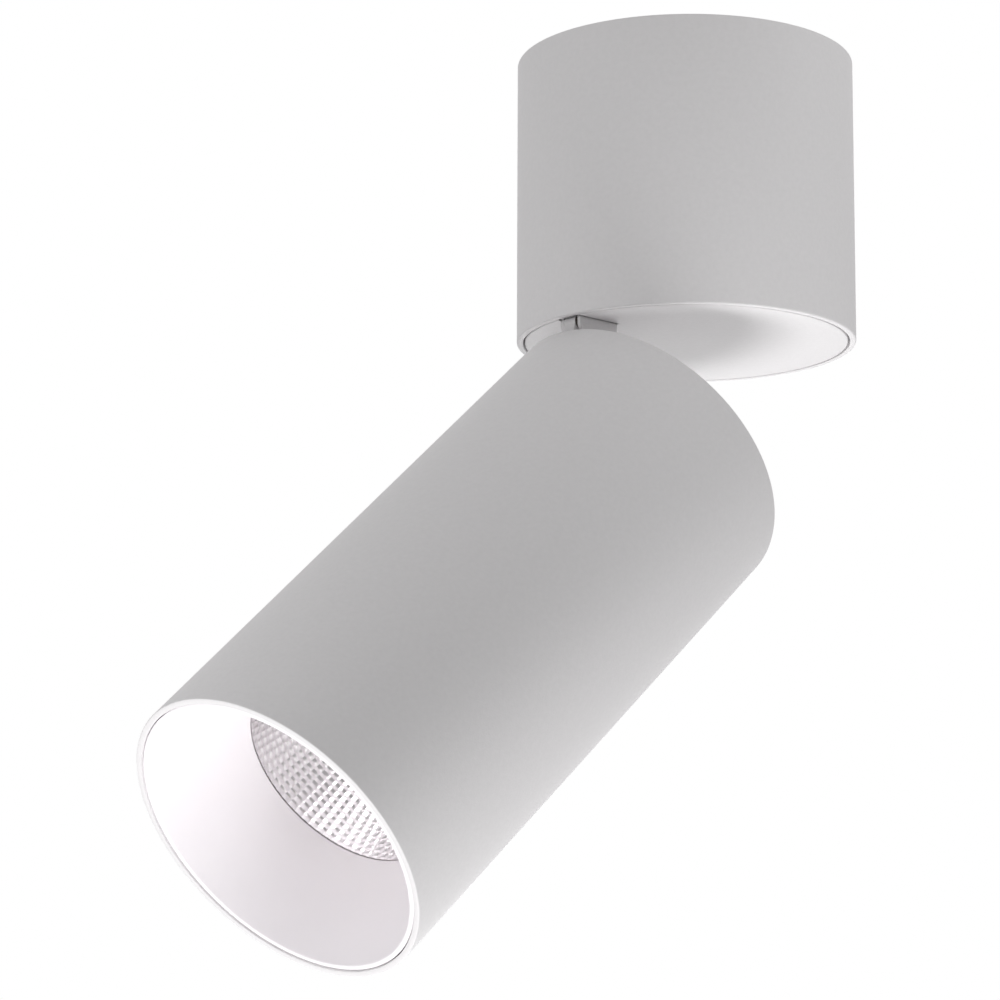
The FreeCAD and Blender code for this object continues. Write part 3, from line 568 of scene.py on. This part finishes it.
class SPOTLIGHT_OT_disc(bpy.types.Operator):
    """Cut the turning disc, with its hub and the notch that the hinge comes down through"""
    bl_idname = "spotlight.disc"
    bl_label = "Swivel disc"

    def execute(self, context):
        sizes = settings().sizes
        radius, face = DISC[1].x, DISC[0].z
        bm = bmesh.new()
        bmesh.ops.create_circle(bm, cap_ends=True, segments=ROUND_STEPS, radius=radius)
        bmesh.ops.translate(bm, verts=bm.verts, vec=(0, 0, face))
        # Cut along the notch's three sides, take out the part between them, and close the rest.
        notch_end = sizes.notch_depth - radius
        planes = [((sizes.notch_half, 0, 0), (1, 0, 0)), ((-sizes.notch_half, 0, 0), (1, 0, 0)),
                  ((0, notch_end, 0), (0, 1, 0))]
        for place, normal in planes:
            bmesh.ops.bisect_plane(bm, geom=bm.verts[:] + bm.edges[:] + bm.faces[:],
                                   plane_co=place, plane_no=normal, dist=ON_THE_CUT)
        gone = [f for f in bm.faces if abs(f.calc_center_median().x) < sizes.notch_half
                and f.calc_center_median().y < notch_end]
        bmesh.ops.delete(bm, geom=gone, context="FACES")
        bmesh.ops.dissolve_faces(bm, faces=bm.faces[:], use_verts=False)
        grown = bmesh.ops.extrude_face_region(bm, geom=bm.faces[:])
        lifted = [v for v in grown["geom"] if isinstance(v, bmesh.types.BMVert)]
        bmesh.ops.translate(bm, verts=lifted, vec=(0, 0, sizes.disc_thickness))
        tidy(bm)
        # The edges round the lower face, and no seam within it.
        outline = [e for e in bm.edges if all(abs(v.co.z - face) < SAME_PLACE for v in e.verts)
                   and len(e.link_faces) == 2 and e.calc_face_angle(0) > FOLD]
        soften(bm, outline, sizes.disc_edge, 3)
        hub(bm, face + sizes.disc_thickness, DISC[1].z)
        piece(bm, "turning_disc", "turntable", ["swivel_disc"], "white_powder_coat")
        return {"FINISHED"}


# Head ---------------------------------------------------------------------------------------


class SPOTLIGHT_OT_tube(bpy.types.Operator):
    """Turn the head's tube, with a chamfer at the rear and a fine edge at the front"""
    bl_idname = "spotlight.tube"
    bl_label = "Head tube"

    def execute(self, context):
        sizes = settings().sizes
        radius, front, rear = TUBE[1].x, TUBE[0].z, TUBE[1].z
        bore = radius - sizes.tube_wall
        bm = spun([(bore, rear), (radius, rear), (radius, front), (bore, front)], ROUND_STEPS)
        soften(bm, circle_edges(bm, radius, rear), sizes.rear_chamfer, 2)
        soften(bm, circle_edges(bm, radius, front), sizes.front_edge, 3)
        soften(bm, circle_edges(bm, bore, front), sizes.bore_edge, 2)
        piece(bm, "tube", "head", ["head_tube"], "white_powder_coat", tilted=True)
        return {"FINISHED"}


class SPOTLIGHT_OT_baffle(bpy.types.Operator):
    """Turn the anti-glare cone, with its front ring and its collar"""
    bl_idname = "spotlight.baffle"
    bl_label = "Baffle"

    def execute(self, context):
        sizes = settings().sizes
        outer, lip = BAFFLE[1].x, BAFFLE[0].z
        mouth, wall = REFLECTOR[0].z, sizes.cone_wall
        inner, throat = outer - sizes.lip_width, sizes.throat
        slope = (inner - throat) / (mouth - lip)
        back = inner + wall * math.hypot(1, slope)
        skirt, skirt_bore = lip + sizes.skirt_length, outer - wall
        meet = lip + (back - skirt_bore) / slope
        # A collar takes up the reflector's flange behind the throat.
        low, top = mouth - wall, mouth + sizes.collar_length
        collar = REFLECTOR[1].x + sizes.collar_play
        end = mouth - sizes.throat_gap
        bm = spun([(inner, lip), (outer, lip), (outer, skirt), (skirt_bore, skirt),
                   (skirt_bore, meet), (back - slope * (low - lip), low),
                   (collar + wall, low), (collar + wall, top), (collar, top),
                   (collar, end), (throat, end)], ROUND_STEPS)
        soften(bm, circle_edges(bm, inner, lip) + circle_edges(bm, outer, lip), sizes.lip_round)
        soften(bm, circle_edges(bm, throat, end), sizes.throat_gap / 2, 2)
        piece(bm, "cone", "head", ["baffle"], "baffle_white", tilted=True)
        return {"FINISHED"}


class SPOTLIGHT_OT_reflector(bpy.types.Operator):
    """Shape the bowl of pillow facets: straight flutes crossed by rings"""
    bl_idname = "spotlight.reflector"
    bl_label = "Reflector"

    def execute(self, context):
        sizes = settings().sizes
        mouth, neck = REFLECTOR[0].z, REFLECTOR[1].z
        length = neck - mouth

        def radius(share):
            """Inner radius of the paraboloid at a share of the way from neck to mouth."""
            return math.sqrt(sizes.neck ** 2 + (sizes.throat ** 2 - sizes.neck ** 2) * share)

        shares = [i / sizes.rings for i in range(sizes.rings + 1)]
        inside = [(radius(s), neck - length * s) for s in shares]
        wall = sizes.reflector_wall
        rim, shoulder = sizes.throat + sizes.flange, mouth + wall
        # The back is plain, so every second ring is enough for it.
        outside = [(radius(s) + wall, neck - length * s) for s in shares[:-1:2]]
        bm = spun(inside + [(rim, mouth), (rim, shoulder), (sizes.throat + wall, shoulder)]
                  + outside[::-1], sizes.flutes)
        swell_facets(bm, neck, length)
        piece(bm, "facet_bowl", "head", ["reflector"], "bright_metallised",
              crease=FACET_CREASE, tilted=True)
        return {"FINISHED"}


def swell_facets(bm, neck, length):
    """Cut each facet of the inside into a fine grid and swell it towards the axis."""
    sizes = settings().sizes
    facets = [f for f in bm.faces if faces_axis(f)]
    grid = list({e for f in facets for e in f.edges})
    bmesh.ops.subdivide_edges(bm, edges=grid, cuts=sizes.facet_cuts, use_grid_fill=True)
    for vert in {v for f in bm.faces if faces_axis(f) for v in f.verts}:
        across = math.atan2(vert.co.y, vert.co.x) / FULL_TURN * sizes.flutes % 1
        along = (neck - vert.co.z) / length * sizes.rings % 1
        reach = Vector((vert.co.x, vert.co.y, 0))
        width = FULL_TURN * reach.length / sizes.flutes
        swell = (arch(across) * sizes.flute_swell * width
                 + arch(along) * sizes.ring_swell * length / sizes.rings)
        vert.co -= reach.normalized() * swell
    bm.normal_update()


def arch(place):
    """Parabola that is 0 at both ends of a facet and 1 in its middle."""
    return 4 * place * (1 - place)


def faces_axis(face):
    """True for a face that looks towards the axis."""
    middle = face.calc_center_median()
    return face.normal.dot(Vector((middle.x, middle.y, 0)).normalized()) < INWARDS


# Finish of the nodes that keep their own shape ------------------------------------------------


class SPOTLIGHT_OT_nodes(bpy.types.Operator):
    """Give each node of the frame the material of its slot"""
    bl_idname = "spotlight.nodes"
    bl_label = "Finishes of the frame"

    def execute(self, context):
        for entry in frame["record"]["subparts"]:
            node = frame["nodes"][entry["node"]]
            node.data.materials.clear()
            node.data.materials.append(finish(entry["material_slot"]))
        return {"FINISHED"}


# Stage --------------------------------------------------------------------------------------


class SPOTLIGHT_OT_stage(bpy.types.Operator):
    """Set the floor, the white surroundings, the lamps and the camera"""
    bl_idname = "spotlight.stage"
    bl_label = "Stage"

    def execute(self, context):
        make_floor()
        make_world()
        make_lamps()
        make_camera()
        context.scene.view_settings.view_transform = "Standard"
        return {"FINISHED"}


FLOOR_HEIGHT = -1.4
FLOOR_REACH = 80.0
FLOOR_PAINT = "#F2F2F2"
FLOOR_LIFT = 0.97           # how far the camera sees the floor lifted to white
FILL_STRENGTH = 0.45
LAMPS = [   # name, what it is aimed at, direction from there, distance, diameter, power
    ("key", "whole", (0.19, -0.14, -1.0), 1.0, 0.4, 6.1),
    ("side", "canopy", (0.85, 0.4, 0.4), 0.3, 0.25, 0.18),
    ("front", "mouth", (-0.14, -0.96, -0.43), 0.3, 0.2, 0.3),
    ("back", "whole", (-0.6, 0.6, -0.5), 1.0, 0.5, 2.5),
    ("upper", "whole", (-0.41, -0.61, 0.68), 1.0, 0.8, 0.9),
]
WHITE = [1.0, 1.0, 1.0, 1.0]


def sees_backdrop(tree):
    """1 for rays that should meet the white surroundings: camera, mirror and glass rays."""
    rays = add(tree, "ShaderNodeLightPath").outputs
    mirror = add(tree, "ShaderNodeMath", {0: rays["Is Camera Ray"], 1: rays["Is Glossy Ray"]},
                 operation="MAXIMUM")
    either = add(tree, "ShaderNodeMath", {0: mirror.outputs[0], 1: rays["Is Transmission Ray"]},
                 operation="MAXIMUM")
    return either.outputs[0]


def make_floor():
    """Pale floor that keeps the shadow; for the camera it is lifted towards white."""
    bm = bmesh.new()
    bmesh.ops.create_grid(bm, x_segments=1, y_segments=1, size=FLOOR_REACH)
    bmesh.ops.translate(bm, verts=bm.verts, vec=(0, 0, FLOOR_HEIGHT))
    mesh = bpy.data.meshes.new("floor")
    bm.to_mesh(mesh)
    bm.free()
    floor = bpy.data.objects.new("floor", mesh)
    bpy.context.scene.collection.objects.link(floor)
    material, output = blank("Pale floor")
    tree = material.node_tree
    paint = add(tree, "ShaderNodeBsdfDiffuse", {"Color": linear(FLOOR_PAINT)})
    glow = add(tree, "ShaderNodeEmission", {"Color": WHITE, "Strength": 1.0})
    seen = add(tree, "ShaderNodeLightPath").outputs["Is Camera Ray"]
    lift = spread(tree, seen, 0.0, FLOOR_LIFT)
    mix = add(tree, "ShaderNodeMixShader", {0: lift, 1: paint.outputs[0], 2: glow.outputs[0]})
    tree.links.new(mix.outputs[0], output.inputs["Surface"])
    mesh.materials.append(material)


def make_world():
    """Even light from all round, and plain white where the camera or a mirror looks past."""
    world = bpy.data.worlds.new("Surroundings")
    bpy.context.scene.world = world
    world.use_nodes = True
    tree = world.node_tree
    tree.nodes.clear()
    fill = add(tree, "ShaderNodeBackground", {"Color": WHITE, "Strength": FILL_STRENGTH})
    white = add(tree, "ShaderNodeBackground", {"Color": WHITE, "Strength": 1.0})
    mix = add(tree, "ShaderNodeMixShader", {0: sees_backdrop(tree), 1: fill.outputs[0],
                                            2: white.outputs[0]})
    add(tree, "ShaderNodeOutputWorld", {"Surface": mix.outputs[0]})


def make_lamps():
    """Soft lamps: below, beside the canopy, before the mouth, behind and above."""
    low, high = (Vector(corner) for corner in CAD_BOX)
    aims = {"whole": (low + high) / 2, "canopy": (CANOPY[0] + CANOPY[1]) / 2,
            "mouth": TILT @ Vector((0, 0, TUBE[0].z))}
    for name, aim, place, distance, diameter, power in LAMPS:
        lamp = bpy.data.lights.new(name, "AREA")
        lamp.shape = "DISK"
        lamp.size = diameter
        lamp.energy = power
        holder = bpy.data.objects.new(name, lamp)
        direction = Vector(place).normalized()
        holder.location = aims[aim] + direction * distance
        holder.rotation_euler = direction.to_track_quat("Z", "Y").to_euler()
        bpy.context.scene.collection.objects.link(holder)


CAMERA_PLACE = (0.61537, -0.61590, -0.28075)
CAMERA_TURN = 47.931        # degrees, as the next two
CAMERA_RISE = 11.1865
CAMERA_ROLL = -0.2596
CAMERA_LENS = 132.94        # millimetres, as the next one
CAMERA_FILM = 36.0
CAMERA_NEAR = 0.01


def make_camera():
    """Camera at the angle that the object is seen from."""
    data = bpy.data.cameras.new("camera")
    data.lens = CAMERA_LENS
    data.sensor_width = CAMERA_FILM
    data.clip_start = CAMERA_NEAR
    camera = bpy.data.objects.new("camera", data)
    level = Matrix.Rotation(math.radians(90), 4, "X")
    roll = Matrix.Rotation(math.radians(CAMERA_ROLL), 4, "Y")
    rise = Matrix.Rotation(math.radians(CAMERA_RISE), 4, "X")
    heading = Matrix.Rotation(math.radians(CAMERA_TURN), 4, "Z")
    camera.matrix_world = Matrix.Translation(CAMERA_PLACE) @ heading @ rise @ roll @ level
    bpy.context.scene.collection.objects.link(camera)
    bpy.context.scene.camera = camera


# Panel and registration -----------------------------------------------------------------------


OPERATORS = [SPOTLIGHT_OT_nodes, SPOTLIGHT_OT_canopy, SPOTLIGHT_OT_disc, SPOTLIGHT_OT_tube,
             SPOTLIGHT_OT_baffle, SPOTLIGHT_OT_reflector, SPOTLIGHT_OT_stage]


class SpotlightSettings(bpy.types.PropertyGroup):
    sizes: bpy.props.PointerProperty(type=SpotlightSizes)
    finishes: bpy.props.PointerProperty(type=SpotlightFinishes)


class SPOTLIGHT_PT_panel(bpy.types.Panel):
    """Steps of the spotlight, in order"""
    bl_idname = "SPOTLIGHT_PT_panel"
    bl_label = "Spotlight"
    bl_space_type = "VIEW_3D"
    bl_region_type = "UI"
    bl_category = "Spotlight"

    def draw(self, context):
        for operator in OPERATORS:
            self.layout.operator(operator.bl_idname)
        for group in (settings().sizes, settings().finishes):
            column = self.layout.column()
            for name in group.__annotations__:
                column.prop(group, name)


CLASSES = [SpotlightSizes, SpotlightFinishes, SpotlightSettings] + OPERATORS + [SPOTLIGHT_PT_panel]


def register():
    """Make the settings, the operators and the panel known."""
    for kind in CLASSES:
        bpy.utils.register_class(kind)
    bpy.types.Scene.spotlight = bpy.props.PointerProperty(type=SpotlightSettings)


def unregister():
    """Take them out again, the last one first."""
    del bpy.types.Scene.spotlight
    for kind in reversed(CLASSES):
        bpy.utils.unregister_class(kind)


def main():
    """Build every piece in order."""
    register()
    for operator in OPERATORS:
        group, name = operator.bl_idname.split(".")
        getattr(getattr(bpy.ops, group), name)()


if __name__ == "__main__":
    main()
